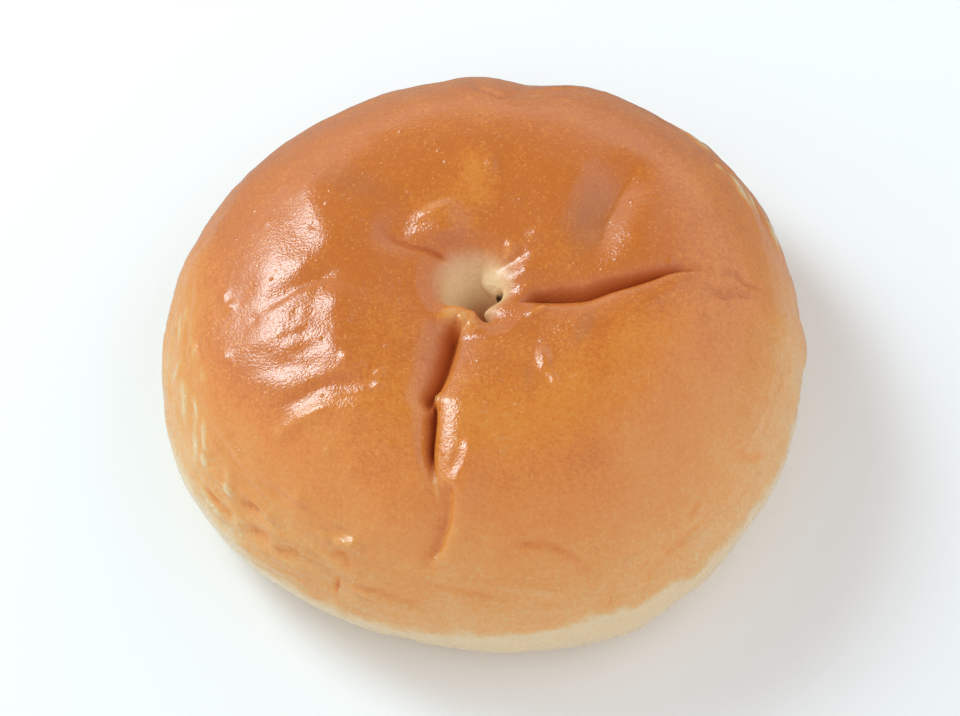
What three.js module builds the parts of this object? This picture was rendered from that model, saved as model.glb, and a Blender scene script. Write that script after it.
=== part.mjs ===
// A red bean bun: one round, flattened bun of sweet dough, with a deep dimple pressed into the middle of its
// top and the folds that the dough makes around it as it swells in the oven. It is whole, so nothing shows of
// the filling, and it is one solid.
// Millimetres, +Z up. The origin is the middle of the flat base, and the bun's front is towards -Y.
import * as THREE from "three";

// Driving dimensions
const RADIUS = 52.8; // mean radius at the widest level
const CROWN = 36.6; // height of the crown that the dimple and the folds are pressed into
const DIMPLE_RADIUS = 6.6; // mean radius of the dimple's mouth
const DIMPLE_DEPTH = 15; // from the crown down to the bottom of the dimple

// Half of the bun's section, from the middle of the crown over the shoulder and under to the edge of the flat
// base: shares of RADIUS and of CROWN.
const SECTION = [
  [0, 0.915],
  [0.19, 0.956],
  [0.38, 0.997],
  [0.51, 0.995],
  [0.65, 0.945],
  [0.78, 0.836],
  [0.895, 0.672],
  [0.971, 0.492],
  [1, 0.342],
  [0.987, 0.219],
  [0.943, 0.115],
  [0.886, 0.044],
  [0.82, 0],
];

// Half of the dimple's section, from its bottom to where it runs out into the crown: shares of the mouth's
// radius and of the depth.
const DIMPLE_SECTION = [
  [0, 1],
  [0.28, 0.96],
  [0.5, 0.78],
  [0.66, 0.5],
  [0.82, 0.24],
  [1.05, 0.08],
  [1.5, 0],
];
const DIMPLE_MOUTH = new THREE.Vector2(-2, 0.2);
const DIMPLE_BOTTOM = new THREE.Vector2(0.2, -2.6); // the dimple leans, so this lies in front of the mouth
const DIMPLE_STRETCH = { lobes: 2, share: 0.1, bearing: 100 }; // the mouth is longer from front to back

// The outline, seen from above, waves a little around its circle: waves per turn, share of the radius, and
// the bearing of a crest in degrees. It starts within the crown and is whole at the shoulder.
const OUTLINE = [
  { lobes: 2, share: 0.0075, bearing: 40 },
  { lobes: 3, share: 0.0131, bearing: 55 },
  { lobes: 4, share: 0.01, bearing: 31 },
  { lobes: 5, share: 0.0035, bearing: -4 },
  { lobes: 6, share: 0.0033, bearing: -12 },
];
const OUTLINE_START = 0.2; // shares of the way over the skin
const OUTLINE_WHOLE = 0.7;

// The folds. A course runs over the skin, and a point of it is the distance over the skin from the middle of
// the crown, to the right and to the back. On the left of the course and on its right, the dough slopes down
// to the fold's line over the two widths, so the narrow side is the plump lip. Rise and fall are the shares of
// the course over which the fold reaches its depth and loses it again.
const FOLDS = [
  // The deep fold from the dimple to the right
  {
    course: [[4, -2.4], [10.5, -2.5], [20, -1.2], [28, 1.1], [36, 2.8], [44, 2.2]],
    widths: [6.5, 3],
    depth: 3.2,
    rise: 0.12,
    fall: 0.4,
  },
  // The deep fold from the dimple to the front
  {
    course: [[-3.9, -7], [-5.8, -14.3], [-8.3, -23], [-8.3, -33], [-6, -40], [-8.5, -49]],
    widths: [3, 6],
    depth: 3.4,
    rise: 0.12,
    fall: 0.4,
  },
  // The shallow fold behind the right one
  {
    course: [[16.5, -1], [18.5, 3], [21, 11], [23.7, 18], [27, 25.5]],
    widths: [8, 3.5],
    depth: 1.8,
    rise: 0.3,
    fall: 0.4,
  },
  // The shallow fold from the dimple to the back left
  {
    course: [[-6, 4], [-12, 6.2], [-16.2, 9.2], [-18.5, 14], [-23.5, 18.5]],
    widths: [4, 6],
    depth: 1.5,
    rise: 0.2,
    fall: 0.4,
  },
  // The notch over the back shoulder, between two lobes
  {
    course: [[3, 42], [5, 52], [7, 62], [8, 72]],
    widths: [5, 5],
    depth: 1.2,
    rise: 0.4,
    fall: 0.3,
  },
];
const COURSE_STEPS = 30;

// How finely the skin is cut
const SEGMENTS = 96;
const DIMPLE_RINGS = 8;
const SKIN_RINGS = 34;
const BASE_RINGS = 4;
const FINE_BEARINGS = [-3, -104, 38, 83, 150]; // segments crowd together where a fold runs outwards
const FINE_WIDTH = 9; // degrees
const FINE_GAIN = 3.2;
const BEARING_SAMPLES = 3600;
const SKIN_CROWDING = 1.25; // over 1, rings crowd together near the dimple
const RING_CENTRING = 24; // distance over the skin at which the rings are centred on the bun
const SECTION_SAMPLES = 600;

const { clamp, degToRad, lerp, smoothstep } = THREE.MathUtils;

function splineThrough(points, across = 1, down = 1) {
  return new THREE.SplineCurve(points.map(([x, y]) => new THREE.Vector2(x * across, y * down)));
}

const section = splineThrough(SECTION, RADIUS, CROWN);
section.arcLengthDivisions = SECTION_SAMPLES;
const skinLength = section.getLength();
const dimpleSection = splineThrough(DIMPLE_SECTION, DIMPLE_RADIUS, DIMPLE_DEPTH);
const courses = FOLDS.map(({ course }) => splineThrough(course).getSpacedPoints(COURSE_STEPS));

// How far a wavy round line stands out at a bearing, as a factor.
function waveFactor(waves, bearing) {
  const swell = ({ lobes, share, bearing: crest }) => share * Math.cos(lobes * (bearing - degToRad(crest)));
  return waves.reduce((factor, wave) => factor + swell(wave), 1);
}

function onCircle(bearing, radius) {
  return new THREE.Vector2(Math.cos(bearing), Math.sin(bearing)).multiplyScalar(radius);
}

// The point of the smooth bun, and its outward normal, at a place on the skin.
function onSkin(place) {
  const reach = Math.min(place.length() / skinLength, 1);
  const bearing = place.angle();
  const at = section.getPointAt(reach);
  const run = section.getTangentAt(reach);
  const factor = lerp(1, waveFactor(OUTLINE, bearing), smoothstep(reach, OUTLINE_START, OUTLINE_WHOLE));
  const plan = onCircle(bearing, at.x * factor);
  const lean = onCircle(bearing, -run.y);
  return { point: new THREE.Vector3(plan.x, plan.y, at.y), normal: new THREE.Vector3(lean.x, lean.y, run.x) };
}

// How far from a course a place lies, whether on its left, and how far along the course that is, from 0 to 1.
function nearestOn(course, place) {
  const nearest = { distance: Infinity, along: 0, onLeft: false };
  for (let i = 0; i + 1 < course.length; i++) {
    const step = new THREE.Vector2().subVectors(course[i + 1], course[i]);
    const toPlace = new THREE.Vector2().subVectors(place, course[i]);
    const share = clamp(toPlace.dot(step) / step.lengthSq(), 0, 1);
    const onLeft = step.cross(toPlace) > 0;
    const distance = toPlace.addScaledVector(step, -share).length();
    if (distance < nearest.distance) {
      nearest.distance = distance;
      nearest.along = (i + share) / (course.length - 1);
      nearest.onLeft = onLeft;
    }
  }
  return nearest;
}

// How deep the deepest fold cuts in at a place.
function foldDepth(place) {
  const depths = FOLDS.map(({ widths, depth, rise, fall }, i) => {
    const { distance, along, onLeft } = nearestOn(courses[i], place);
    const width = onLeft ? widths[0] : widths[1];
    const ends = smoothstep(along, 0, rise) * smoothstep(1 - along, 0, fall);
    return depth * ends * smoothstep(width - distance, 0, width);
  });
  return Math.max(...depths);
}

// A ring around the dimple, from its bottom (share 0) to where it runs out into the crown (share 1).
function dimpleRing(share, bearing) {
  const at = dimpleSection.getPointAt(share);
  const depthShare = at.y / DIMPLE_DEPTH;
  const centre = new THREE.Vector2().lerpVectors(DIMPLE_MOUTH, DIMPLE_BOTTOM, depthShare);
  const factor = lerp(waveFactor([DIMPLE_STRETCH], bearing), 1, depthShare);
  return { place: onCircle(bearing, at.x * factor).add(centre), sunk: at.y };
}

// A ring on the open skin, from the dimple's edge (share 0) to the edge of the base (share 1).
function skinRing(share, bearing) {
  const inner = DIMPLE_RADIUS * DIMPLE_SECTION.at(-1)[0];
  const reach = lerp(inner, skinLength, share ** SKIN_CROWDING);
  const centring = 1 - smoothstep(reach, inner, RING_CENTRING);
  const factor = lerp(1, waveFactor([DIMPLE_STRETCH], bearing), centring);
  return { place: onCircle(bearing, reach * factor).addScaledVector(DIMPLE_MOUTH, centring), sunk: 0 };
}

function bunPoint({ place, sunk }) {
  const { point, normal } = onSkin(place);
  point.addScaledVector(normal, -foldDepth(place));
  point.z -= sunk;
  return point;
}

// The bearings of the segments, closer together where a fold runs outwards.
function segmentBearings() {
  const weightAt = (degrees) =>
    FINE_BEARINGS.reduce((weight, fold) => {
      const apart = Math.abs(((degrees - fold + 540) % 360) - 180);
      return weight + FINE_GAIN * Math.exp(-((apart / FINE_WIDTH) ** 2));
    }, 1);
  const weights = Array.from({ length: BEARING_SAMPLES }, (_, i) => weightAt((i / BEARING_SAMPLES) * 360));
  const total = weights.reduce((sum, weight) => sum + weight, 0);
  const bearings = [];
  let passed = 0;
  weights.forEach((weight, i) => {
    if (passed >= (bearings.length / SEGMENTS) * total) bearings.push((i / BEARING_SAMPLES) * 2 * Math.PI);
    passed += weight;
  });
  return bearings.slice(0, SEGMENTS);
}

// All rings of the bun, from the one around the dimple's bottom to the one around the middle of the base.
function bunRings(bearings) {
  const rings = [];
  for (let i = 1; i <= DIMPLE_RINGS; i++)
    rings.push(bearings.map((bearing) => bunPoint(dimpleRing(i / DIMPLE_RINGS, bearing))));
  for (let i = 1; i <= SKIN_RINGS; i++)
    rings.push(bearings.map((bearing) => bunPoint(skinRing(i / SKIN_RINGS, bearing))));
  const baseEdge = rings.at(-1);
  baseEdge.forEach((point) => point.setZ(0));
  for (let i = 1; i < BASE_RINGS; i++)
    rings.push(baseEdge.map((point) => point.clone().multiplyScalar(1 - i / BASE_RINGS)));
  return rings;
}

// A closed skin over the rings, with a fan of triangles at each end.
function closedSkin(rings, firstPole, lastPole) {
  const around = rings[0].length;
  const points = [firstPole, ...rings.flat(), lastPole];
  const last = points.length - 1;
  const indices = [];
  for (let j = 0; j < around; j++) {
    const next = (j + 1) % around;
    indices.push(0, 1 + j, 1 + next);
    for (let i = 0; i + 1 < rings.length; i++) {
      const inner = 1 + i * around;
      const outer = inner + around;
      indices.push(inner + j, outer + j, outer + next, inner + j, outer + next, inner + next);
    }
    indices.push(last, last - around + next, last - around + j);
  }
  const geometry = new THREE.BufferGeometry().setFromPoints(points);
  geometry.setIndex(indices);
  geometry.computeVertexNormals();
  return geometry;
}

// Brings the middle of the outline's box, seen from above, to the origin.
function centreInPlan(geometry) {
  geometry.computeBoundingBox();
  const middle = geometry.boundingBox.getCenter(new THREE.Vector3());
  geometry.translate(-middle.x, -middle.y, 0);
}

function makeBun() {
  const rings = bunRings(segmentBearings());
  const dimpleFloor = bunPoint(dimpleRing(0, 0));
  const geometry = closedSkin(rings, dimpleFloor, new THREE.Vector3(0, 0, 0));
  centreInPlan(geometry);
  const crust = new THREE.MeshStandardMaterial({ color: 0xc9803f, roughness: 0.35, metalness: 0 });
  const bun = new THREE.Mesh(geometry, crust);
  bun.name = "bun";
  return bun;
}

const part = new THREE.Group();
part.name = "red_bean_bun";
part.add(makeBun());

export default part;
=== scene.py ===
import math

import bpy
import numpy as np
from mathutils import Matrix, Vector, noise


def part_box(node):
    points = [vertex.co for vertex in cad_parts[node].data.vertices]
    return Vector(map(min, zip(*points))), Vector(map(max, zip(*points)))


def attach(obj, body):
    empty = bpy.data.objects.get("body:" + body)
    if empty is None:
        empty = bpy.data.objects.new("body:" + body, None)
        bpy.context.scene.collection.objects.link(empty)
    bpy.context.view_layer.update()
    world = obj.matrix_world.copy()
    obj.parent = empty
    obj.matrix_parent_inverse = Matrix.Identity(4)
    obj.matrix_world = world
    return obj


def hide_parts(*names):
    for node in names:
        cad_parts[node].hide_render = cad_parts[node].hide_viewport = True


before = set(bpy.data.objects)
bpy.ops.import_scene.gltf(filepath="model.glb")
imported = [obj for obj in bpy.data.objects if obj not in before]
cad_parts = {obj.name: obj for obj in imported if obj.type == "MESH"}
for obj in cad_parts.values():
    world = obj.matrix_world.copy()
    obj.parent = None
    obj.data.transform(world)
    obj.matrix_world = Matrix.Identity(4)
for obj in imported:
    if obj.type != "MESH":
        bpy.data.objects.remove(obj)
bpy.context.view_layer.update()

# The bun: one round of sweet yeast dough closed around its filling, pressed in the middle with a finger,
# glazed with egg and baked on a flat tray. It starts as a ball, flattened into the bun's section. The
# dimple, folds, wrinkles and blisters are then pressed into its skin, as they were into the dough.
MM = 0.001
SEGMENTS = 440
# The ball's rings: those that line the dimple, those of the skin down to the table, and those of the base.
DIMPLE_RINGS = 44
SKIN_RINGS = 156
BASE_RINGS = 12
low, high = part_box("bun")
RADIUS = (high.x - low.x) / 2 / MM
CROWN = high.z / MM

# Half of the bun's section, from the crown's middle to the edge of the base: shares of radius and height.
SECTION = [
    (0, 0.915), (0.19, 0.956), (0.38, 0.997), (0.51, 0.995), (0.65, 0.945), (0.78, 0.836), (0.895, 0.672),
    (0.971, 0.492), (1, 0.342), (0.987, 0.219), (0.943, 0.115), (0.886, 0.044), (0.82, 0),
]
SECTION_STEPS = 800
# The outline's waves around its circle: waves per turn, share of the radius, bearing of a crest in degrees.
# They grow between these two shares of the way down the skin.
OUTLINE = [(2, 0.0075, 40), (3, 0.0131, 55), (4, 0.01, 31), (5, 0.0035, -4), (6, 0.0033, -12)]
WAVES_START = 0.2
WAVES_FULL = 0.7
# Half of the dimple's section, from its bottom outwards: shares of the mouth's radius and of the depth.
DIMPLE = [(0, 1), (0.28, 0.96), (0.5, 0.78), (0.66, 0.5), (0.82, 0.24), (1.05, 0.08), (1.5, 0)]
DIMPLE_STEPS = 200
DIMPLE_RADIUS = 6.6
DIMPLE_DEPTH = 10.5
# Where its mouth and its bottom lie, to the right and to the back of the crown's middle.
DIMPLE_MOUTH = np.array([-2.0, 0.2])
DIMPLE_BOTTOM = np.array([0.2, -2.6])
CURVE_STEPS = 40


def smooth(x, start, end):
    t = np.clip((x - start) / (end - start), 0, 1)
    return t * t * (3 - 2 * t)


def curve_through(points, count):
    """A smooth curve through the points, as count places spaced evenly along it, and its length."""
    p = np.array(points, float)
    padded = np.vstack([p[:1], p, p[-1:]])
    t = np.linspace(0, len(p) - 1, CURVE_STEPS * len(p))
    i = np.minimum(t.astype(int), len(p) - 2)
    w = (t - i)[:, None]
    before, here, there, after = (padded[i + k] for k in range(4))
    a = (there - before) / 2
    b = (after - here) / 2
    fine = (2 * here - 2 * there + a + b) * w**3 + (3 * there - 3 * here - 2 * a - b) * w**2 + a * w + here
    run = np.concatenate([[0], np.cumsum(np.hypot(*np.diff(fine, axis=0).T))])
    even = np.linspace(0, run[-1], count)
    return np.stack([np.interp(even, run, fine[:, k]) for k in (0, 1)], 1), run[-1]


section, skin_length = curve_through([(r * RADIUS, z * CROWN) for r, z in SECTION], SECTION_STEPS)
section_run = np.linspace(0, skin_length, SECTION_STEPS)
section_slope = np.gradient(section, section_run, axis=0)


def on_skin(place):
    """The points of the smooth bun at places on its skin, and the outward normals there."""
    reach = np.minimum(np.hypot(*place.T), skin_length)
    bearing = np.arctan2(place[:, 1], place[:, 0])
    r, z = (np.interp(reach, section_run, section[:, k]) for k in (0, 1))
    dr, dz = (np.interp(reach, section_run, section_slope[:, k]) for k in (0, 1))
    wave = sum(share * np.cos(n * (bearing - math.radians(crest))) for n, share, crest in OUTLINE)
    r = r * (1 + wave * smooth(reach / skin_length, WAVES_START, WAVES_FULL))
    east, north = np.cos(bearing), np.sin(bearing)
    return np.stack([r * east, r * north, z], 1), np.stack([-dz * east, -dz * north, dr], 1)


bpy.ops.object.select_all(action="DESELECT")
RINGS = DIMPLE_RINGS + SKIN_RINGS + BASE_RINGS
bpy.ops.mesh.primitive_uv_sphere_add(segments=SEGMENTS, ring_count=RINGS, radius=RADIUS * MM)
bun = bpy.context.object
bun.name = "bun_crust"
ball = np.zeros(len(bun.data.vertices) * 3)
bun.data.vertices.foreach_get("co", ball)
ball = ball.reshape(-1, 3)
bearing = np.arctan2(ball[:, 1], ball[:, 0])
ring = np.rint(np.arccos(np.clip(ball[:, 2] / (RADIUS * MM), -1, 1)) / math.pi * RINGS)

# The ball's lines of longitude crowd together along the deep folds: bearing in degrees, how much.
CROWDED = [(-7, 1.8), (-104, 2.0), (36, 0.7), (152, 0.6)]
CROWD_SPREAD = math.radians(10)
TURN_STEPS = 3601
turn = np.linspace(-math.pi, math.pi, TURN_STEPS)
crowd = 1 + sum(
    gain * np.exp(-(((turn - math.radians(at) + math.pi) % (2 * math.pi) - math.pi) / CROWD_SPREAD) ** 2)
    for at, gain in CROWDED
)
passed = np.concatenate([[0], np.cumsum((crowd[1:] + crowd[:-1]) / 2)])
bearing = np.interp((bearing + math.pi) / (2 * math.pi), passed / passed[-1], turn)
away = np.stack([np.cos(bearing), np.sin(bearing)], 1)

# The places on the skin where the ball's points go: first those of the dimple.
dimple = curve_through([(r * DIMPLE_RADIUS, z * DIMPLE_DEPTH) for r, z in DIMPLE], DIMPLE_STEPS)[0]
share = np.clip(ring / DIMPLE_RINGS, 0, 1)
radius, sunk = (np.interp(share, np.linspace(0, 1, DIMPLE_STEPS), dimple[:, k]) for k in (0, 1))
# The dimple's mouth isn't round: bearing in degrees, radius in millimetres.
MOUTH = [(-180, 6.2), (-158, 6.1), (-141, 6.0), (-124, 5.8), (-110, 5.2), (-98, 5.2), (-87, 6.0),
         (-76, 6.9), (-61, 7.2), (-30, 6.6), (0, 5.9), (25, 6.1), (40, 6.3), (55, 6.6), (77, 6.8),
         (98, 6.7), (120, 7.0), (134, 6.8), (157, 6.5), (180, 6.2)]
stretch = np.interp(np.degrees(bearing), *zip(*MOUTH)) / DIMPLE_RADIUS
lean = (sunk / DIMPLE_DEPTH)[:, None]
in_dimple = away * (radius * (stretch + (1 - stretch) * lean[:, 0]))[:, None]
in_dimple += DIMPLE_MOUTH * (1 - lean) + DIMPLE_BOTTOM * lean

# Then those outside it. Their rings start round the dimple's mouth and become centred on the crown, and
# they are a little closer together near the dimple.
CENTRED_FROM = 24
RING_SPREAD = 1.1
inner = DIMPLE_RADIUS * DIMPLE[-1][0]
share = np.clip((ring - DIMPLE_RINGS) / SKIN_RINGS, 0, 1)
reach = inner + (skin_length - inner) * share**RING_SPREAD
centring = 1 - smooth(reach, inner, CENTRED_FROM)
on_top = away * (reach * (1 + (stretch - 1) * centring))[:, None] + DIMPLE_MOUTH * centring[:, None]
place = np.where(ring[:, None] <= DIMPLE_RINGS, in_dimple, on_top)

# What the hands and the oven do to each place: how far it slides, how far it is lifted, how deep it is
# tucked into a fold, darker skin with painted shade over it, and how much browner it gets than the skin
# around it.
slide = np.zeros_like(place)
lift = np.zeros(len(place))
tucked_and_shaded = np.zeros(len(place))
browned_and_sheen = np.zeros(len(place))
COURSE_STEPS = 48


def nearest_on(course, places):
    """Each place's distance from the course, positive on the left, how far along it is, and the course."""
    line = curve_through(course, COURSE_STEPS)[0]
    distance = np.full(len(places), np.inf)
    along = np.zeros(len(places))
    for i in range(len(line) - 1):
        step = line[i + 1] - line[i]
        offset = places - line[i]
        part = np.clip(offset @ step / (step @ step), 0, 1)
        apart = np.hypot(*(offset - part[:, None] * step).T)
        side = np.where(step[0] * offset[:, 1] - step[1] * offset[:, 0] > 0, 1, -1)
        closer = apart < np.abs(distance)
        distance[closer] = (side * apart)[closer]
        along[closer] = ((i + part) / (len(line) - 1))[closer]
    return distance, along, line


def close_to(course, margin):
    corners = np.array(course)
    return np.all((place > corners.min(0) - margin) & (place < corners.max(0) + margin), axis=1)


# The folds. A course lists places on the skin in millimetres from the middle of the crown, to the right and
# to the back, along the edge of the side that bulges over the fold. Bulge is 1 where that side is on its
# left. A section gives the skin's lift at distances from the edge, negative on the far side, and taper
# widens or narrows it along the course. Lean is how far the edge hangs over. Dark is how wide the tucked
# skin is darkened, and deep how strongly: its own darker tone with painted shade over it. The fold grows
# over rise and dies out over fall, as shares of the course.
RIGHT_FOLD = dict(
    course=[(5.0, -2.7), (7, -2.9), (9, -3.1), (13, -3.3), (16.2, -3.3), (19.6, -2.3), (23.7, -1.2),
            (27, 0.1), (30, 1.6), (33, 2.5), (36.5, 2.9), (38.5, 2.7)],
    section=[(-13, 0), (-9, -0.12), (-6, -0.45), (-4, -0.9), (-3, -1.3), (-2, -2.3), (-1, -3.4),
             (-0.3, -4.1), (0, -4.0), (0.25, -2.6), (0.6, -1.6), (1.2, -1.0), (2.2, -0.45),
             (3.5, -0.1), (5, 0.08), (7, 0)],
    bulge=-1, lean=0.9, dark=4.8, deep=1, rise=0.12, fall=0.52,
    taper=[(0, 0.5), (0.2, 1), (0.4, 1), (0.6, 0.75), (0.75, 0.5), (1, 0.25)],
)
FRONT_FOLD = dict(
    course=[(-3.9, -7.0), (-4.3, -8.7), (-5, -12.2), (-6.3, -17.2), (-7.6, -20.4), (-8.3, -21.6),
            (-7.8, -23.5), (-7.9, -27), (-8.3, -31), (-8.3, -34), (-7.8, -37), (-7.2, -39.5)],
    section=[(-7, 0), (-5, -0.1), (-4, -0.35), (-3, -0.9), (-2.3, -1.5), (-1.7, -2.1), (-1, -3.0),
             (-0.3, -3.8), (0, -3.6), (0.3, -2.6), (0.6, -2.05), (1.2, -1.42), (1.8, -0.98),
             (2.6, -0.58), (3.5, -0.25), (4.5, -0.06), (6, 0.02), (8, 0)],
    bulge=1, lean=0.5, dark=2.8, deep=1, rise=0.08, fall=0.3,
    taper=[(0, 1.2), (0.25, 1.3), (0.4, 1.1), (0.65, 0.85), (0.82, 0.6), (1, 0.3)],
)
FRONT_TAIL = dict(
    course=[(-5.6, -36.2), (-5.7, -38.5), (-5.9, -41), (-6.3, -43.5), (-7.2, -45.8), (-8, -47.6),
            (-9.2, -48.8), (-10.8, -51)],
    section=[(-7, 0), (-5, -0.12), (-3, -0.45), (-1.6, -0.7), (-0.6, -0.9), (-0.1, -0.9), (0.3, -0.65),
             (0.8, -0.1), (1.5, 0.25), (2.5, 0.35), (4, 0.15), (6, 0)],
    bulge=1, lean=0.1, dark=2, deep=0.15, rise=0.15, fall=0.3, taper=[(0, 1), (1, 1)],
)
BACK_RIGHT_FOLD = dict(
    course=[(25.8, 26), (24.4, 22), (23, 19.2), (21.7, 16.6), (20.6, 13.7), (19.4, 10.9), (18.6, 7.5),
            (17.6, 4.8), (16.5, 1.5)],
    section=[(-9, 0), (-7.5, -0.12), (-6, -0.55), (-4, -1.2), (-2, -1.8), (-0.8, -2.1), (-0.2, -2.2),
             (0.2, -2.1), (0.8, -1.85), (1.6, -1.4), (2.6, -0.85), (3.6, -0.4), (5, 0), (6.5, 0.1),
             (9, 0)],
    bulge=1, lean=0.1, dark=0, deep=0, rise=0.35, fall=0.4, taper=[(0, 1), (1, 1)],
)
BACK_LEFT_FOLD = dict(
    course=[(-5.6, 4.9), (-7.2, 5.8), (-9.3, 6.6), (-11.4, 7.0), (-13.8, 8.0), (-16.4, 9.6),
            (-18.6, 11.4)],
    section=[(-5, 0), (-3, -0.14), (-1.6, -0.35), (-0.6, -0.65), (0, -0.82), (0.3, -0.45),
             (0.8, -0.12), (1.6, 0.05), (3, 0.1), (5, 0)],
    bulge=-1, lean=0.2, dark=0.9, deep=0.55, rise=0.15, fall=0.6, taper=[(0, 0.7), (0.3, 1), (1, 1)],
)

FOLD_STEPS = 300
# Millimetres behind the edge: where the lean is full, and where it ends.
LEAN_FULL = 0.6
LEAN_END = 4
# Where the tucked skin's darkening, its own darker tone with painted shade, starts to fade and where it
# ends, on the near and on the far side.
NEAR_FADE = np.array([0.07, 0.2])
FAR_FADE = np.array([0.25, 1.05])
TUCK_SHADE_GAIN = 1.4


def press_fold(course, section, bulge, lean, dark, deep, rise, fall, taper):
    shape = curve_through(section, FOLD_STEPS)[0]
    near = close_to(course, max(-section[0][0], section[-1][0]))
    distance, along, line = nearest_on(course, place[near])
    d = distance * bulge / np.interp(along, *zip(*taper))
    amount = smooth(along, 0, rise) * smooth(1 - along, 0, fall)
    pressed = np.interp(d, shape[:, 0], shape[:, 1])
    lift[near] += pressed * amount
    step = np.gradient(line, axis=0)
    across = np.stack([-step[:, 1], step[:, 0]], 1) / np.hypot(*step.T)[:, None] * bulge
    at = along * (len(line) - 1)
    out = np.stack([np.interp(at, np.arange(len(line)), across[:, k]) for k in (0, 1)], 1)
    push = lean * smooth(d, 0, LEAN_FULL) * (1 - smooth(d, LEAN_FULL, LEAN_END)) * amount
    slide[near] -= out * push[:, None]
    # Darken the tucked skin: its own darker tone, with painted shade over it.
    if dark:
        shade = np.where(d > 0, 1 - smooth(d, *NEAR_FADE * dark), 1 - smooth(-d, *FAR_FADE * dark))
        tucked_and_shaded[near] = np.maximum(tucked_and_shaded[near], deep * np.minimum(1, TUCK_SHADE_GAIN * amount) * shade)


for fold in (RIGHT_FOLD, FRONT_FOLD, FRONT_TAIL, BACK_RIGHT_FOLD, BACK_LEFT_FOLD):
    press_fold(**fold)
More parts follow.
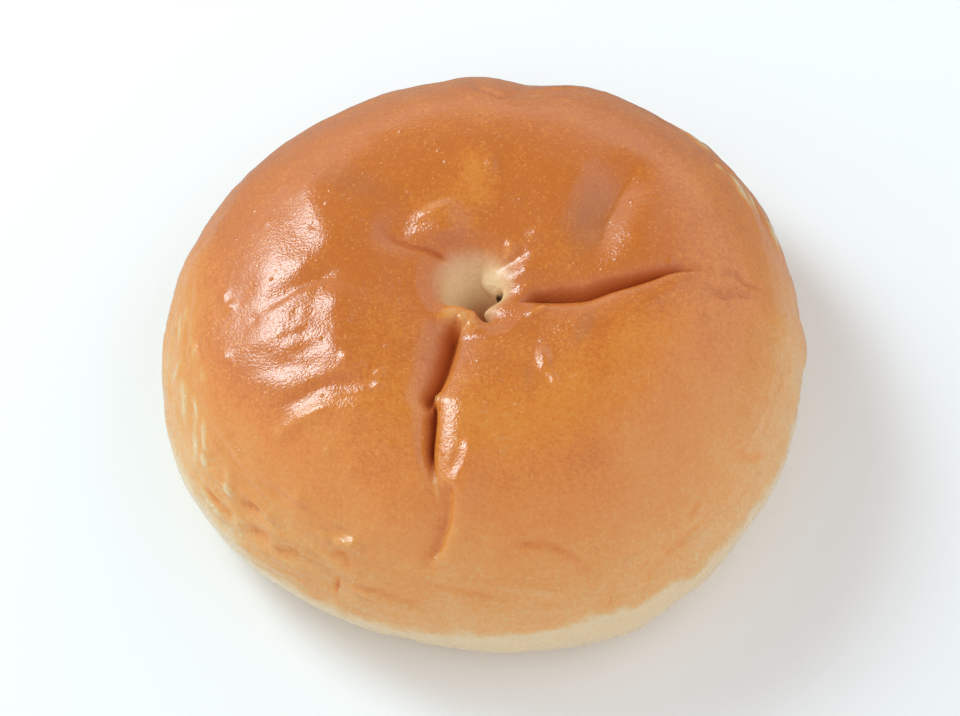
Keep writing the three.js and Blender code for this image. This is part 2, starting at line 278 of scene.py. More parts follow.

# Shallow creases in the skin: the course, the half width on its left and on its right, the depth in
# millimetres, raised where negative, and how much browner it is, paler where negative; some paler marks are
# painted sheen and reflections on raised skin.
CREASES = [
    # the swelling of the left shoulder, the browner hollow beside it, and the plump skin beside the dimple
    ([(-31.5, 25), (-29.7, 20), (-27.2, 13), (-25.6, 6), (-25.6, 1)], 5, 3, -0.6, 0),
    ([(-25, 20), (-19.5, 15), (-16.5, 8)], 3.5, 3.5, 0.1, 0.22),
    ([(-8.6, 15.5), (-7.2, 12.5), (-6.6, 9.5), (-6.8, 7)], 3.6, 3.6, -1.35, 0),
    ([(-15, 13), (-9, 13.5), (-3, 12), (2, 10)], 3.5, 3, 0, -0.12),
    ([(-24, 18), (-23, 14), (-22.5, 10)], 2.5, 3, 0, 0.1),
    # a swelling behind the dimple, paler with a painted sheen
    ([(-2, 27), (-1, 20), (-0.4, 12)], 3.2, 3.2, -0.15, -0.15),
    # paler skin beside the right fold
    ([(17, -11), (24, -10.5), (30, -10), (38, -8)], 5.5, 6, 0, -0.14),
    ([(18, -20), (25, -19), (31, -18)], 4, 4.5, 0, -0.1),
    # browner skin beside the end of the front fold
    ([(-22, -30), (-16, -38), (-10, -46)], 5, 5, 0, 0.08),
    # the thin ridge over the right of the dimple
    ([(2.6, -0.4), (3.8, 1.0), (5.8, 2.2), (8.8, 3.6)], 1.3, 1.2, -0.4, 0),
    # the curled lip in front of the dimple, and the small folds on its right
    ([(-8, -5.4), (-5.4, -6.8), (-3, -7.5), (-0.6, -7.8)], 1.5, 1.4, -0.2, -0.5),
    ([(-5.6, -9), (-4.9, -7.6), (-4.6, -6.2)], 0.35, 0.35, 0.35, 0.2),
    ([(-3.7, -8.6), (-3.1, -7.6), (-3.0, -6.4)], 0.35, 0.35, 0.3, 0.15),
    ([(6.4, -6.1), (8.2, -5.2), (10, -4.2)], 0.55, 0.6, -0.5, -0.2),
    ([(3.7, 8.6), (3.9, 6.8), (4.5, 5)], 0.8, 0.6, -0.45, -0.15),
    ([(5.6, 8), (5.8, 6.4), (6.4, 5)], 0.8, 0.8, 0.2, 0.1),
    # terraces on the left shoulder
    ([(-37.5, -5), (-35, -3.7), (-32.8, -2.7), (-30.7, -1.5), (-28.1, -0.5), (-25, 1.2)],
     2.2, 0.7, 0.4, 0.08),
    ([(-24.4, 0), (-23.6, -5), (-23.6, -11), (-24.4, -17)], 3.2, 2.6, -0.42, 0),
    ([(-34, -10.8), (-32.6, -10.4), (-31.1, -10), (-29.1, -9.6), (-27, -10)], 0.8, 0.8, 0.22, 0.1),
    ([(-39.5, -10.5), (-36, -12.1), (-32.6, -12.6), (-29, -13.7), (-26.9, -13), (-24.5, -11.5)],
     1.6, 2.5, 0.18, 0.03),
    ([(-35, -21.4), (-32.6, -20.9), (-29.7, -20.2), (-26.1, -19), (-22.6, -18.4), (-18, -18.8)],
     0.5, 2, 0.4, 0.12),
    ([(-27.5, -20.6), (-25, -20.7), (-22.6, -20.9), (-19.4, -20.8), (-16.5, -20.6)], 0.5, 0.6, -0.2, 0),
    ([(-36, -27), (-33.4, -26.2), (-31, -25.3), (-28.4, -24.2), (-26, -23.4), (-22.4, -23.2)],
     1.4, 1.0, -0.55, 0),
    # the end of the plump edge over the front fold
    ([(-2.4, -28), (-2.5, -30.5), (-3.2, -33.5), (-4.6, -36), (-6.6, -38.6)], 3.4, 1.2, -0.7, 0),
    # a thin raised ridge along the fold's far edge, paler with a painted highlight
    ([(-8.6, -31.5), (-8.4, -34.5), (-7.9, -37.5), (-7.4, -40)], 0.35, 0.35, -0.5, -0.35),
    # the thin web of skin across the front fold
    ([(-6.4, -20.3), (-7.7, -21.1), (-8.3, -22.6), (-8.7, -24.1), (-10.4, -24.5)],
     0.4, 0.4, -1.0, -0.3),
    # the browner side of the front fold's tail
    ([(-6.2, -40.5), (-6.6, -44), (-7.8, -47), (-9.6, -49.5), (-11, -51.5)], 0.5, 2.4, 0.15, 0.18),
    # the kinked wrinkles where the right fold dies out
    ([(37.5, 2.9), (39.8, 3.6), (41.2, 4.6), (42.4, 4.3), (43.6, 3.6), (45.9, 3.8), (49.5, 5)],
     0.9, 0.5, 0.4, 0.12),
    ([(34, -1.1), (37.5, -0.5), (39.9, -0.9), (41.6, 1), (43.5, 1.1), (47.8, 2.6)],
     0.9, 0.6, 0.45, 0.1),
    ([(30.1, 4.6), (29.8, 2.7), (29.5, 1.2)], 0.5, 0.5, -0.35, 0),
    # wrinkles low on the front, where the dough spread over the tray
    ([(2, -46.3), (6, -45.8), (9.5, -45.7), (13.4, -46.7), (16.4, -48.6), (17.4, -51)],
     0.6, 0.8, 0.45, 0.2),
    ([(0, -53.2), (4, -53.4), (8, -53.5), (14.1, -53.4)], 0.5, 0.5, -0.32, -0.1),
    ([(-13, -53), (-10.2, -53.5), (-3.1, -54.6), (5.6, -55.7)], 0.6, 0.6, 0.35, 0.14),
    ([(-25, -52.8), (-20, -54), (-15.3, -56.2), (-10, -57.2)], 0.6, 0.6, 0.35, 0.2),
    ([(-28.4, -47.8), (-25.5, -47.2), (-24.4, -48.5), (-24.9, -51)], 0.6, 0.8, 0.3, 0.2),
    ([(-26.9, -51.2), (-27.4, -52.4), (-28.8, -54.2)], 0.4, 0.4, 0.25, 0.7),
    ([(27, -53), (29.8, -47.2), (35.1, -41.9), (41, -36.3)], 0.7, 0.7, 0.3, 0.12),
    ([(33.6, -39.6), (34.9, -38.4), (36.5, -36.3)], 0.5, 0.5, 0.2, 0.3),
    ([(43, -27.2), (47.1, -27.7), (50, -26.6), (52.6, -25.1)], 0.8, 0.8, 0.25, 0.2),
    ([(21, -50), (22, -54), (21.5, -58)], 0.6, 0.6, 0.2, 0.1),
    ([(-43.4, -35.4), (-42.2, -36.3), (-40.8, -37.2), (-39.4, -38.1)], 0.6, 0.8, 0.7, 0.28),
    ([(-43.8, -40.2), (-41.6, -41.2), (-40, -42.2), (-38.6, -43.4)], 0.7, 0.8, 0.75, 0.28),
    ([(-39, -44.8), (-36.4, -45.3), (-33, -46.4)], 0.5, 0.7, 0.55, 0.25),
    ([(-52.2, -31), (-49.6, -33.8), (-47.1, -36.6), (-45.4, -38.6)], 0.5, 0.5, 0.45, 0.22),
    # pale raised strands among them, made paler with painted highlights
    ([(-53, -31.6), (-50.4, -34.4), (-48, -37.2)], 0.6, 0.6, -0.4, -0.25),
    ([(-44.6, -37.6), (-44.9, -38.6), (-45.3, -39.8)], 0.8, 0.8, -0.6, -0.3),
    ([(-44.1, -30), (-44.8, -32.2), (-45.3, -34.4)], 0.7, 0.7, -0.6, -0.25),
    ([(-49, -23), (-49.6, -26), (-50.2, -28.5)], 0.6, 0.6, -0.4, -0.3),
    ([(-52, -30), (-50.8, -32), (-49.5, -34), (-48.8, -36.6)], 0.5, 0.5, 0.3, 0.2),
    # a narrow raised fold low on the left of the front
    ([(-27, -45.2), (-23.8, -45.5), (-20.6, -45.6)], 0.95, 0.95, -1.3, -0.1),
    # thin pale strands of skin along the rim, on the right and on the left, made paler with painted
    # reflections
    ([(35, 42), (37, 40.3), (38.7, 38.4), (39.8, 35.5)], 1.4, 1.4, -0.3, -0.7),
    ([(39.3, 30.8), (40.7, 30.2), (42.4, 30.2)], 0.7, 0.7, -0.15, -0.5),
    ([(42, 31), (44.6, 28.8), (47.6, 27), (50.2, 24.8)], 1.2, 1.2, -0.35, -0.75),
    ([(43.2, 27.2), (45.8, 25.8), (48, 24)], 0.6, 0.6, -0.15, -0.5),
    ([(53.8, 29), (54.2, 25), (54.6, 21), (56, 18)], 1.0, 1.0, -0.3, -0.7),
    ([(-56, 4), (-55.4, 0), (-55.6, -4)], 0.7, 0.7, -0.12, -0.25),
    ([(-54.5, 5), (-52.6, 0), (-51, -3), (-49.4, -8.5)], 0.6, 0.6, -0.12, -0.25),
    ([(-49.6, -3.4), (-53.2, -6.7), (-58.2, -10.6)], 0.7, 0.7, -0.15, -0.25),
    ([(-50.6, -4.4), (-49.4, -9.4), (-46.6, -14.8)], 0.8, 0.8, -0.2, -0.33),
    ([(-53.6, -10), (-52.8, -15), (-54, -19.4)], 0.8, 0.8, -0.2, -0.25),
    ([(-49.6, -11), (-50.2, -18), (-51.2, -22), (-52.8, -29)], 0.6, 0.6, -0.15, -0.33),
    ([(-47.2, -17), (-48.5, -22.2), (-49.8, -29)], 0.6, 0.6, -0.15, -0.25),
    ([(-44.4, -28.5), (-45.2, -32), (-45.4, -36)], 0.5, 0.5, -0.2, -0.25),
    ([(-52.8, -29.5), (-51.4, -33), (-48.6, -38)], 0.6, 0.6, -0.2, -0.25),
    # the pinch in the rim at the back
    ([(-3.5, 48.5), (-2.4, 45.8), (-1.3, 41.9), (0.7, 40.6), (2.5, 38.8), (4.7, 40.6), (6.5, 44.5)],
     0.8, 0.5, 0.5, 0.25),
    ([(6.5, 43.5), (8.5, 43.4), (12.8, 44.8), (18, 46)], 0.7, 0.5, -0.3, 0),
]

# A crease grows and dies out over this share of its course. A mark has died out at so many half widths.
CREASE_ENDS = 0.3
DIED_OUT = 3


def press_crease(course, left, right, depth, shade):
    near = close_to(course, DIED_OUT * max(left, right))
    distance, along, _ = nearest_on(course, place[near])
    amount = smooth(along, 0, CREASE_ENDS) * smooth(1 - along, 0, CREASE_ENDS)
    amount *= np.exp(-((distance / np.where(distance > 0, left, right)) ** 2))
    lift[near] -= depth * amount
    browned_and_sheen[near] += shade * amount


for crease in CREASES:
    press_crease(*crease)

# Blisters and small dents: place on the skin, half length, half width, turn in degrees, height, which is
# negative for a dent.
BLISTERS = [
    # on the right and in front of the dimple
    (8.2, 9.3, 1.3, 1.0, 20, 0.3), (9.2, -14.6, 2.2, 0.9, 95, 0.7), (10.8, -18.8, 1.4, 0.6, 110, 0.4),
    (-0.6, -24.2, 0.9, 0.45, 20, 0.28), (1.9, -28.9, 0.8, 0.6, 0, 0.35), (2.7, -30.5, 0.5, 0.5, 0, 0.25),
    (6.2, -24.2, 0.6, 0.5, 0, 0.2),
    # the hollow behind the dimple on the left, the dent on its right, and the specks behind it
    (-14.6, 9.6, 3, 3.6, 0, -1.15), (4.7, 4.8, 1.8, 1.2, 30, -0.4), (0.8, 21.8, 1.4, 0.9, 100, 0.4),
    (4.8, 15.4, 0.5, 0.5, 0, 0.15), (0.9, 18.9, 0.4, 0.4, 0, 0.12), (-0.5, 17.4, 0.4, 0.4, 0, 0.12),
    (-8.3, 27.2, 0.5, 0.5, 0, 0.15),
    # at the back on the left, and far out on the left
    (-38.6, 23.2, 0.7, 0.6, 0, 0.15), (-37.1, 20.4, 0.6, 0.6, 0, 0.15), (-34.3, 20.8, 0.7, 0.6, 0, 0.15),
    (-36.1, 13.3, 0.9, 0.6, 80, 0.2), (-42.7, -11.1, 1.3, 0.9, 140, 0.5), (-42.3, -1.7, 1.0, 0.8, 0, 0.5),
    (-43.7, 0.8, 1.2, 0.7, 90, 0.45), (-46.3, -1.2, 0.7, 0.5, 90, 0.15),
    # between the left shoulder and the front fold
    (-22.1, -14.9, 0.9, 0.7, 90, 0.4), (-20.2, -15.8, 0.8, 0.7, 0, 0.3), (-16.8, -17.8, 0.8, 0.7, 0, 0.4),
    (-17, -20, 1.0, 0.7, 40, 0.45), (-21.8, -7.5, 0.9, 0.4, 90, 0.15), (-21.9, -11.4, 0.9, 0.4, 90, 0.15),
    # low on the front on the left
    (-27.4, -44.2, 1.1, 0.7, 0, 0.6), (-31.1, -37.2, 1.2, 0.7, 10, 0.6), (-37.4, -38.8, 0.9, 0.8, 0, 0.6),
    (-25.4, -30.4, 1.0, 0.6, 15, 0.35), (-21.7, -33.7, 0.9, 0.6, 20, 0.4), (-15.3, -30.4, 0.8, 0.7, 0, 0.3),
    # small dents and broad swellings and hollows on the left shoulder
    (-28, 10.2, 0.7, 0.6, 0, -0.2), (-30.5, -5.7, 0.7, 0.6, 0, -0.2), (-37.5, -5.6, 0.8, 0.6, 0, -0.25),
    (-26, 1.0, 2.4, 2.1, 90, -0.45), (-22.3, -4.5, 3.4, 3, 0, 0.5), (-22, -16, 4, 3, 0, 0.6),
    (-31.8, -15.2, 4.8, 1.8, -8, -0.4), (-40.4, 0.2, 3.8, 3.2, 0, -0.45), (-28.6, 3.4, 3.2, 3, 0, 0.28),
    (-22, -23.5, 3.5, 1.6, 0, 0.35), (-40, -5.5, 5, 3.2, 10, -0.5), (-27.2, -2.6, 1.2, 0.8, 80, -0.12),
    (-29, -12.6, 1.5, 1.0, 0, -0.2),
    # the swelling at the end of the front fold
    (-4.8, -38, 2.8, 3, 90, 0.6),
]


def along_oval(places, x, y, length, width, turn):
    """How far places are along and across an oval that is turned by degrees, in its own half sizes."""
    offset = places - (x, y)
    c, s = math.cos(math.radians(turn)), math.sin(math.radians(turn))
    return (offset[:, 0] * c + offset[:, 1] * s) / length, (offset[:, 1] * c - offset[:, 0] * s) / width


def raise_blister(x, y, length, width, turn, height):
    near = close_to([(x, y)], DIED_OUT * max(length, width))
    u, v = along_oval(place[near], x, y, length, width, turn)
    lift[near] += height * np.exp(-(u * u + v * v))


for blister in BLISTERS:
    raise_blister(*blister)

# The skin's own unevenness comes from noise: broad and fine waves, which leave the dimple clear, and long
# thin wrinkles round the rim. Each kind of wave has its size in millimetres and its own layer of the noise.
reach = np.hypot(*place.T)
bearing = np.arctan2(place[:, 1], place[:, 0])
NOISE_FALL_OFF = 1.0
NOISE_STEP = 2.0
BROAD_WAVES = 0.35
FINE_WAVES = 0.06
CLEAR_OF_DIMPLE = (8, 14)


def noise_at(coordinates, octaves):
    return np.array([noise.fractal(Vector(c), NOISE_FALL_OFF, NOISE_STEP, octaves) for c in coordinates])


def waves(size, layer, octaves):
    return noise_at(np.column_stack([place / size, np.full(len(place), layer)]), octaves)


def turned_from(at):
    """Degrees from this bearing to the bearing of each place."""
    return (np.degrees(bearing) - at + 180) % 360 - 180


broad = waves(size=16, layer=3.7, octaves=2)
fine = waves(size=3.2, layer=8.1, octaves=3)
lift += (BROAD_WAVES * broad + FINE_WAVES * fine) * smooth(reach, *CLEAR_OF_DIMPLE)

# The wrinkles round the rim are narrow across it and long around it.
WRINKLE_WIDTH = 1.3
WRINKLE_LENGTH = 9
around = [np.cos(bearing) * RADIUS / WRINKLE_LENGTH, np.sin(bearing) * RADIUS / WRINKLE_LENGTH]
rim_wrinkles = noise_at(np.column_stack([reach / WRINKLE_WIDTH, *around]), octaves=3)
# They break the pale marks on the rim, pale skin with painted reflections, into streaks, between a least
# and a most of their strength.
ON_RIM = (38, 44)
STREAKED = 2.2
STREAK_RANGE = (0.1, 1.7)
streaks = 1 + smooth(reach, *ON_RIM) * (np.clip(1 + STREAKED * rim_wrinkles, *STREAK_RANGE) - 1)
browned_and_sheen *= np.where(browned_and_sheen < 0, streaks, 1)
# Where the rim is wrinkled: bearing and half width in degrees, from and to reach, height.
WRINKLED = [(193, 22, 44, 60, 0.28), (40, 26, 48, 64, 0.25), (-90, 50, 46, 62, 0.2),
            (-130, 24, 44, 62, 0.4), (-35, 30, 48, 64, 0.22)]
# The wrinkles fade sideways between these shares of the half width, and grow and end over millimetres.
SIDEWAYS_FADE = np.array([0.5, 1.3])
WRINKLES_GROW = 5
WRINKLES_END = 6
for at, half, start, end, height in WRINKLED:
    window = 1 - smooth(np.abs(turned_from(at)), *SIDEWAYS_FADE * half)
    window *= smooth(reach, start, start + WRINKLES_GROW)
    window *= 1 - smooth(reach, end, end + WRINKLES_END)
    lift += height * rim_wrinkles * window

# The lumps of the outline: bearing and half width in degrees, how far out in millimetres. They grow between
# two reaches, and finer lumps lie over them.
LUMPS = [(1, 4, 0.6), (35, 6, 0.3), (68, 6, 0.75), (80, 5, -1.0), (93, 5, 0.5), (121, 8, -0.45),
         (147, 7, 0.4), (198, 9, 0.35), (247, 6, 0.75), (296, 7, 0.7), (312, 5, 0.5), (331, 4, 0.3)]
FINE_LUMPS = 0.16
LUMPS_GROW = (30, 48)
outwards = FINE_LUMPS * waves(size=4.5, layer=2.6, octaves=3)
for at, half, out in LUMPS:
    outwards += out * np.exp(-((turned_from(at) / half) ** 2))
outwards *= smooth(reach, *LUMPS_GROW)

# Painted reflection: patches where the glaze shows a dim greyish-brown haze: place, half length, half
# width, turn in degrees, how strong. Their edges are a little sharper than a blister's.
HAZE_PATCHES = [(17, 12.5, 7.5, 3.2, 72, 0.5), (-21.5, 18.5, 6.5, 3, -30, 0.3),
        (15.6, -9.2, 3.8, 1.3, 65, 0.35), (6.9, -18, 2.6, 1.2, 80, 0.25)]
PATCH_EDGE = 1.5
painted_haze = np.zeros(len(place))
for *oval, haze_strength in HAZE_PATCHES:
    u, v = along_oval(place, *oval)
    painted_haze += haze_strength * np.exp(-((u * u + v * v) ** PATCH_EDGE))

# The crust fades into the pale dough low on the side: bearing in degrees, reach of its edge, and how softly
# it fades, in millimetres.
PALE_EDGE = [(-180, 68, 1.2), (-151, 62, 2.4), (-146, 63.5, 2.8), (-140, 61.5, 3), (-134, 64.5, 3),
             (-117, 65, 2.6), (-103, 65.2, 1.6), (-91, 63, 1), (-81, 62.4, 1), (-74, 60, 1),
             (-63, 61, 1), (-52, 62, 1.4), (-38, 62.6, 1.6), (-23, 63.4, 1.6), (-10, 65, 1.6),
             (5, 68, 1.4), (90, 72, 1), (180, 68, 1.2)]
EDGE_WAVERS = 1.6
bearings, edges, softness = zip(*PALE_EDGE)
edge = np.interp(np.degrees(bearing), bearings, edges)
edge += EDGE_WAVERS * waves(size=5, layer=1.3, octaves=2)
soft = np.interp(np.degrees(bearing), bearings, softness)
crusted = 1 - smooth(reach, edge - soft, edge + soft)

# How far the crust is baked, from 0 for pale dough to 1 for the darkest crust. It is paler towards the rim,
# but less so at the back. It is also paler on the right and on the front of the crown, browner on the left,
# and patchy. Each pair gives where a change starts and ends, in millimetres.
PALER_RIM, TOWARDS_RIM = 0.6, (32, 66)
BACK_SPARED, TOWARDS_BACK = 0.8, (-8, 30)
PALER_RIGHT, TOWARDS_RIGHT = 0.07, (15, 50)
PALER_FRONT, AWAY_FROM_FRONT = 0.16, (-26, -4)
BROWNER_LEFT, TOWARDS_LEFT, LEFT_ENDS = 0.1, (15, 40), (46, 58)
PATCHY = 0.09
right, back = place.T
to_rim = smooth(reach, *TOWARDS_RIM)
toned = 1 - PALER_RIM * to_rim * (1 - BACK_SPARED * smooth(back, *TOWARDS_BACK))
toned -= PALER_RIGHT * smooth(right, *TOWARDS_RIGHT)
toned -= PALER_FRONT * (1 - smooth(back, *AWAY_FROM_FRONT)) * (1 - to_rim)
toned += PATCHY * waves(size=10, layer=5.9, octaves=2)
# The creases' marks come last: browning, paler skin, and painted sheen and reflections.
toned += BROWNER_LEFT * smooth(-right, *TOWARDS_LEFT) * (1 - smooth(reach, *LEFT_ENDS)) + browned_and_sheen

# Round the dimple, the skin that was drawn in stayed pale: bearing from its mouth, where the pale dough
# ends and where the crust is full, as shares of the mouth's radius.
PALE_MOUTH = [(-180, 0.45, 1.2), (-140, 0.6, 1.2), (-110, 0.7, 1.2), (-76, 0.6, 0.9), (-50, 0.8, 1.1),
              (-15, 0.85, 1.15), (10, 0.8, 1.3), (30, 0.75, 1.45), (50, 0.6, 1.25), (70, 0.42, 1.2),
              (90, 0.38, 1.2), (140, 0.38, 1.2), (180, 0.45, 1.2)]
from_mouth = place - DIMPLE_MOUTH
mouth_bearing = np.degrees(np.arctan2(from_mouth[:, 1], from_mouth[:, 0]))
rim_share = np.hypot(*from_mouth.T) / np.interp(mouth_bearing, *zip(*MOUTH))
bearings, pale_to, full_from = zip(*PALE_MOUTH)
pale_ends, crust_full = (np.interp(mouth_bearing, bearings, shares) for shares in (pale_to, full_from))
drawn_in = 1 - smooth(rim_share, pale_ends, crust_full)
DOUGH_MARKED = 0.7
baked = np.clip(toned, 0, 1) * crusted + DOUGH_MARKED * np.maximum(browned_and_sheen, 0) * (1 - crusted)
# Painted shade: the dimple's bottom is darkened like a fold's tucked skin, out to these rings.
BOTTOM_PAINTED_SHADE = 0.8
BOTTOM_RINGS = (6, 18)
tucked_and_shaded = np.maximum(tucked_and_shaded, BOTTOM_PAINTED_SHADE * (1 - smooth(ring, *BOTTOM_RINGS)))
# A pinhole is left between the two plump masses on the dimple's right; the shadow in it is painted near
# black.
PINHOLE = (3.15, 0.42)
PINHOLE_FLATTENED = (1, 1.2)
PINHOLE_EDGE = (0.22, 0.45)
pinhole_shadow = 1 - smooth(np.hypot(*((place - PINHOLE) * PINHOLE_FLATTENED).T), *PINHOLE_EDGE)

point, normal = on_skin(place + slide)
point += normal * lift[:, None]
point[:, :2] *= 1 + (outwards / RADIUS)[:, None]
point[:, 2] -= np.where(ring <= DIMPLE_RINGS, sunk, 0)

# Where the dough round the dimple was pushed and pulled: the place in millimetres, how far the push reaches
# along each axis, and how far it moves the dough. Two plump masses meet over the end of the right fold.
HANDLED = [
    ((3.4, 3.0, 30.5), (3.4, 2.7, 3.5), (-3.0, 0.2, -1.0)),
    ((3.6, -3.6, 31.0), (2.5, 2.2, 3.0), (-3.4, 0.1, 0.1)),
    ((-5.0, -6.0, 32.5), (3.2, 2.4, 3.0), (0.2, 2.2, 0.1)),
    ((-2.4, -5.6, 33.0), (0.9, 1.1, 1.4), (0.3, 0.9, 0.4)),
    ((2.4, 0.4, 30.6), (0.45, 0.5, 0.7), (3.0, -0.5, -4.0)),
]


def handle_dough(at, sizes, push):
    apart = (((point - at) / sizes) ** 2).sum(1)
    near = apart < DIED_OUT**2
    point[near] += np.exp(-apart[near])[:, None] * push


for handling in HANDLED:
    handle_dough(*handling)

# The base is flat, closes under the middle, and is an even brown from the tray.
BASE_BAKED = 0.8
on_base = ring >= DIMPLE_RINGS + SKIN_RINGS
base = np.clip((ring - DIMPLE_RINGS - SKIN_RINGS) / BASE_RINGS, 0, 1)
point[on_base, 2] = 0
point[:, 2] = np.maximum(point[:, 2], 0)
point *= np.stack([1 - base, 1 - base, np.ones_like(base)], 1)
baked[on_base] = BASE_BAKED
middle = (point.max(0) + point.min(0)) / 2
point[:, :2] -= middle[:2]
bun.data.vertices.foreach_set("co", (point * MM).ravel())
marks = {"baked": baked, "tucked_and_shaded": tucked_and_shaded, "drawn_in": drawn_in, "pinhole_shadow": pinhole_shadow, "painted_haze": painted_haze}
for name, values in marks.items():
    bun.data.attributes.new(name, "FLOAT", "POINT").data.foreach_set("value", values)
bun.data.update()
bun.data.shade_smooth()

# The glazed crust's finish. Its colour follows how far each place is baked, drawn in and tucked, with
# painted shade in the folds, the dimple's bottom and the pinhole, and a painted dim reflection in hazy
# patches.
# Mottling, grain, pores, specks and pimples run over it all.
crust = bpy.data.materials.new("crust")
crust.use_nodes = True
nodes, links = crust.node_tree.nodes, crust.node_tree.links
shader = nodes["Principled BSDF"]
GLAZE_SHINE = 0.6
shader.inputs["Specular IOR Level"].default_value = GLAZE_SHINE


def crust_node(kind, **settings):
    node = nodes.new(kind)
    for name, value in settings.items():
        setattr(node, name, value)
    return node


def feed(node, inputs):
    for name, value in inputs.items():
        if isinstance(value, bpy.types.NodeSocket):
            links.new(value, node.inputs[name])
        else:
            node.inputs[name].default_value = value
    return node


def maths(operation, *values, clamp=False):
    node = crust_node("ShaderNodeMath", operation=operation, use_clamp=clamp)
    return feed(node, dict(enumerate(values))).outputs[0]


def tint(amount, first, second):
    """The first colour turned towards the second. A colour mix has sockets 6 and 7 and output 2."""
    node = crust_node("ShaderNodeMix", data_type="RGBA")
    return feed(node, {0: amount, 6: first, 7: second}).outputs[2]


def mark_on_skin(name):
    return crust_node("ShaderNodeAttribute", attribute_name=name).outputs["Fac"]


def cloudy(output, scale, detail):
    node = crust_node("ShaderNodeTexNoise")
    return feed(node, {"Vector": coordinates, "Scale": scale, "Detail": detail}).outputs[output]


def dots(where, scale, radius, left_out):
    """Round dots, at most one to a cell of the pattern, with none in a share of the cells."""
    cells = feed(crust_node("ShaderNodeTexVoronoi"), {"Vector": where, "Scale": scale})
    chance = feed(crust_node("ShaderNodeSeparateColor"), {"Color": cells.outputs["Color"]}).outputs[0]
    dot = maths("SUBTRACT", 1, maths("DIVIDE", cells.outputs["Distance"], radius), clamp=True)
    return maths("MULTIPLY", dot, maths("GREATER_THAN", chance, left_out))


def fill_ramp(ramp, stops):
    while len(ramp.color_ramp.elements) < len(stops):
        ramp.color_ramp.elements.new(0.5)
    for element, (position, colour) in zip(ramp.color_ramp.elements, stops):
        element.position = position
        element.color = (*colour, 1)


coordinates = crust_node("ShaderNodeTexCoord").outputs["Object"]
mottle = cloudy("Fac", scale=420, detail=3)
grain = cloudy("Fac", scale=1300, detail=1)
pores = cloudy("Fac", scale=2300, detail=1)
wander = cloudy("Color", scale=1600, detail=1)
# The specks stray from round by half a millimetre at most.
SPECK_STRAYS = 0.0005
strayed = crust_node("ShaderNodeVectorMath", operation="MULTIPLY_ADD")
feed(strayed, {0: wander, 1: (SPECK_STRAYS,) * 3, 2: coordinates})
speck = dots(strayed.outputs[0], scale=1300, radius=0.32, left_out=0.5)
pimple = dots(coordinates, scale=330, radius=0.15, left_out=0.45)

# How much each pattern changes the tone, and the tones from pale dough to the darkest crust.
NOISE_MIDDLE = 0.5
SPECKLED = 0.3
CRUST_TONES = [
    (0, (0.71, 0.55, 0.34)), (0.3, (0.70, 0.405, 0.16)), (0.55, (0.71, 0.30, 0.075)),
    (0.82, (0.69, 0.222, 0.036)), (1, (0.57, 0.155, 0.028)),
]
tone = mark_on_skin("baked")
for pattern, amount in ((mottle, 0.12), (grain, 0.28), (pores, 0.26)):
    tone = maths("ADD", tone, maths("MULTIPLY", maths("SUBTRACT", pattern, NOISE_MIDDLE), amount))
tone = maths("SUBTRACT", tone, maths("MULTIPLY", speck, SPECKLED), clamp=True)
ramp = crust_node("ShaderNodeValToRGB")
fill_ramp(ramp, CRUST_TONES)
links.new(tone, ramp.inputs[0])

# Colours: a painted dim reflection, the drawn-in dough, the tucked skin's darker tone with painted shade,
# and the pinhole's painted shadow.
PAINTED_HAZE_COLOUR = (0.40, 0.15, 0.07, 1)
DRAWN_DOUGH = (0.91, 0.68, 0.39, 1)
TUCKED_CRUST_AND_SHADE = (0.46, 0.08, 0.002, 1)
PINHOLE_SHADOW = (0.02, 0.008, 0.004, 1)
# The grain frays the edge of the pale dough, and the tucked skin's darker colour and painted shade leave a
# little of the crust's tone showing.
DOUGH_FULL = 1.2
DOUGH_FRAYED = 0.4
TUCKED_AND_SHADED_SHARE = 0.9
tucked_and_shaded_here = mark_on_skin("tucked_and_shaded")
drawn_in_here = mark_on_skin("drawn_in")
frayed = maths("SUBTRACT", DOUGH_FULL, maths("MULTIPLY", grain, DOUGH_FRAYED))
colour = tint(mark_on_skin("painted_haze"), ramp.outputs[0], PAINTED_HAZE_COLOUR)
colour = tint(maths("MULTIPLY", drawn_in_here, frayed, clamp=True), colour, DRAWN_DOUGH)
colour = tint(maths("MULTIPLY", tucked_and_shaded_here, TUCKED_AND_SHADED_SHARE), colour, TUCKED_CRUST_AND_SHADE)
colour = tint(mark_on_skin("pinhole_shadow"), colour, PINHOLE_SHADOW)
links.new(colour, shader.inputs["Base Color"])

# The glaze is smooth, the drawn-in dough a little rougher, and the tucked skin was never glazed.
GLAZE_ROUGHNESS = 0.21
TUCKED_ROUGHER = 0.79
DRAWN_ROUGHER = 0.2
roughness = maths("ADD", GLAZE_ROUGHNESS, maths("MULTIPLY", tucked_and_shaded_here, TUCKED_ROUGHER))
roughness = maths("ADD", roughness, maths("MULTIPLY", drawn_in_here, DRAWN_ROUGHER))
links.new(roughness, shader.inputs["Roughness"])

# The relief finer than the mesh, as shares of its height in metres.
RELIEF_HEIGHT = 0.00011
relief = maths("MULTIPLY", grain, 0.15)
for pattern, amount in ((pores, 0.6), (speck, 0.3), (pimple, 1.2)):
    relief = maths("ADD", relief, maths("MULTIPLY", pattern, amount))
bump = feed(crust_node("ShaderNodeBump"), {"Height": relief, "Distance": RELIEF_HEIGHT, "Strength": 1.0})
links.new(bump.outputs[0], shader.inputs["Normal"])
bun.data.materials.append(crust)
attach(bun, "root")
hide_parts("bun")

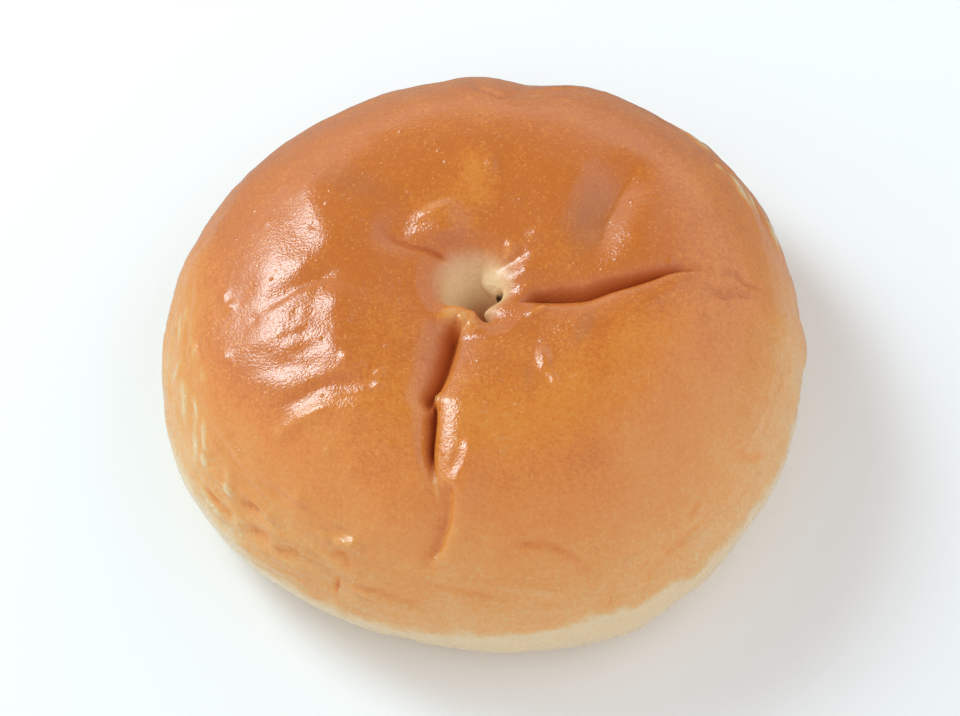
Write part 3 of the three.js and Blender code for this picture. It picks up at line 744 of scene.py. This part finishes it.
# The table: a plain pale floor for the bun to stand on, which is no part of it. Behind the bun it is
# painted darker in reflections only, painted shade that keeps the glaze from picking up much of it.
TABLE_SIZE = 4
TABLE_PALE = (0.93, 0.93, 0.93, 1)
TABLE_DIM = (0.3, 0.3, 0.3, 1)
TABLE_ROUGHNESS = 0.9
DIM_FROM = -0.02
DIM_BEYOND = 0.06
bpy.ops.mesh.primitive_plane_add(size=TABLE_SIZE)
table = bpy.context.object
table.name = "table"
pale = bpy.data.materials.new("pale_table")
pale.use_nodes = True
pale_nodes, pale_links = pale.node_tree.nodes, pale.node_tree.links
surface = pale_nodes["Principled BSDF"]
surface.inputs["Roughness"].default_value = TABLE_ROUGHNESS
where = pale_nodes.new("ShaderNodeSeparateXYZ")
pale_links.new(pale_nodes.new("ShaderNodeTexCoord").outputs["Object"], where.inputs[0])
behind = pale_nodes.new("ShaderNodeMapRange")
behind.inputs["From Min"].default_value = DIM_FROM
behind.inputs["From Max"].default_value = DIM_BEYOND
pale_links.new(where.outputs["Y"], behind.inputs["Value"])
glimpsed = pale_nodes.new("ShaderNodeMath")
glimpsed.operation = "MULTIPLY"
pale_links.new(pale_nodes.new("ShaderNodeLightPath").outputs["Is Glossy Ray"], glimpsed.inputs[0])
pale_links.new(behind.outputs[0], glimpsed.inputs[1])
dimmed = pale_nodes.new("ShaderNodeMix")
dimmed.data_type = "RGBA"
dimmed.inputs[6].default_value = TABLE_PALE
dimmed.inputs[7].default_value = TABLE_DIM
pale_links.new(glimpsed.outputs[0], dimmed.inputs[0])
pale_links.new(dimmed.outputs[2], surface.inputs["Base Color"])
table.data.materials.append(pale)


# The light: a bright soft box behind the bun on the left, a broad dim one on the right, and pale
# surroundings, a little darker overhead. Directions are degrees left of straight behind and degrees up.
BUN_MIDDLE = Vector((0, 0, 0.02))
COOL = (0.72, 0.93, 1)
# The key light is seen in the glaze more than it lights the crust.
KEY_SPREAD = 0.3


def towards(left, up):
    a, e = math.radians(left), math.radians(up)
    return Vector((-math.sin(a) * math.cos(e), math.cos(a) * math.cos(e), math.sin(e)))


def aim(thing, target):
    thing.rotation_euler = (Vector(target) - thing.location).to_track_quat("-Z", "Y").to_euler()


def soft_box(name, left, up, distance, size, radiance, spread_light=1, tint=(1, 1, 1)):
    lamp = bpy.data.lights.new(name, "AREA")
    lamp.shape = "RECTANGLE"
    lamp.size, lamp.size_y = size
    lamp.energy = radiance * math.pi * size[0] * size[1]
    lamp.diffuse_factor = spread_light
    lamp.color = tint
    box = bpy.data.objects.new(name, lamp)
    bpy.context.collection.objects.link(box)
    box.location = towards(left, up) * distance
    aim(box, BUN_MIDDLE)


soft_box("key", 55, 39, 0.9, (0.42, 0.42), 7, KEY_SPREAD, COOL)
soft_box("key_core", 53, 42, 0.85, (0.20, 0.16), 10, KEY_SPREAD, COOL)
soft_box("key_skirt", 50, 21, 0.9, (0.30, 0.20), 1.2, KEY_SPREAD, COOL)
soft_box("side_panel", -95, 31, 1.0, (1.8, 1.1), 0.2)

world = bpy.data.worlds.new("surroundings")
bpy.context.scene.world = world
world.use_nodes = True
sky, sky_links = world.node_tree.nodes, world.node_tree.links
# How bright the surroundings are, from the horizon up to straight overhead.
SKY_GREYS = [(0, 1.0), (0.35, 1.0), (0.7, 0.95), (1, 0.8)]
direction = sky.new("ShaderNodeTexCoord").outputs["Generated"]
height_of = sky.new("ShaderNodeSeparateXYZ")
sky_fade = sky.new("ShaderNodeValToRGB")
sky_links.new(direction, height_of.inputs[0])
sky_links.new(height_of.outputs["Z"], sky_fade.inputs[0])
fill_ramp(sky_fade, [(height, (grey,) * 3) for height, grey in SKY_GREYS])
# Two dim regions of the room, behind the bun and overhead: direction, how many degrees from it the
# dimness is full and where it ends, and the share of light left.
DIM_REGIONS = [(10, 56, 16, 40, 0.15), (110, 78, 15, 50, 0.75)]
shade = sky_fade.outputs[0]
for left, up, full, end, left_over in DIM_REGIONS:
    facing = sky.new("ShaderNodeVectorMath")
    facing.operation = "DOT_PRODUCT"
    facing.inputs[1].default_value = towards(left, up)
    sky_links.new(direction, facing.inputs[0])
    patch = sky.new("ShaderNodeMapRange")
    patch.interpolation_type = "SMOOTHSTEP"
    limits = (math.cos(math.radians(end)), math.cos(math.radians(full)), 1, left_over)
    for socket, value in zip(patch.inputs[1:5], limits):
        socket.default_value = value
    sky_links.new(facing.outputs["Value"], patch.inputs[0])
    dim = sky.new("ShaderNodeVectorMath")
    dim.operation = "SCALE"
    sky_links.new(shade, dim.inputs[0])
    sky_links.new(patch.outputs[0], dim.inputs["Scale"])
    shade = dim.outputs[0]
sky_links.new(shade, sky["Background"].inputs["Color"])

# The camera: it looks steeply down on the bun from the front, from far enough away to flatten it. It is
# aimed at a place inside the bun, in millimetres.
CAMERA_AIM = Vector((-0.752, -0.896, 13.46)) * MM
CAMERA_DISTANCE = 0.7
CAMERA_ELEVATION = math.radians(59)
camera_data = bpy.data.cameras.new("camera")
camera_data.sensor_width = 36
camera_data.lens = 160.65
camera = bpy.data.objects.new("camera", camera_data)
bpy.context.collection.objects.link(camera)
upwards = Vector((0, -math.cos(CAMERA_ELEVATION), math.sin(CAMERA_ELEVATION)))
camera.location = CAMERA_AIM + upwards * CAMERA_DISTANCE
aim(camera, CAMERA_AIM)
bpy.context.scene.camera = camera
bpy.context.scene.view_settings.view_transform = "Standard"
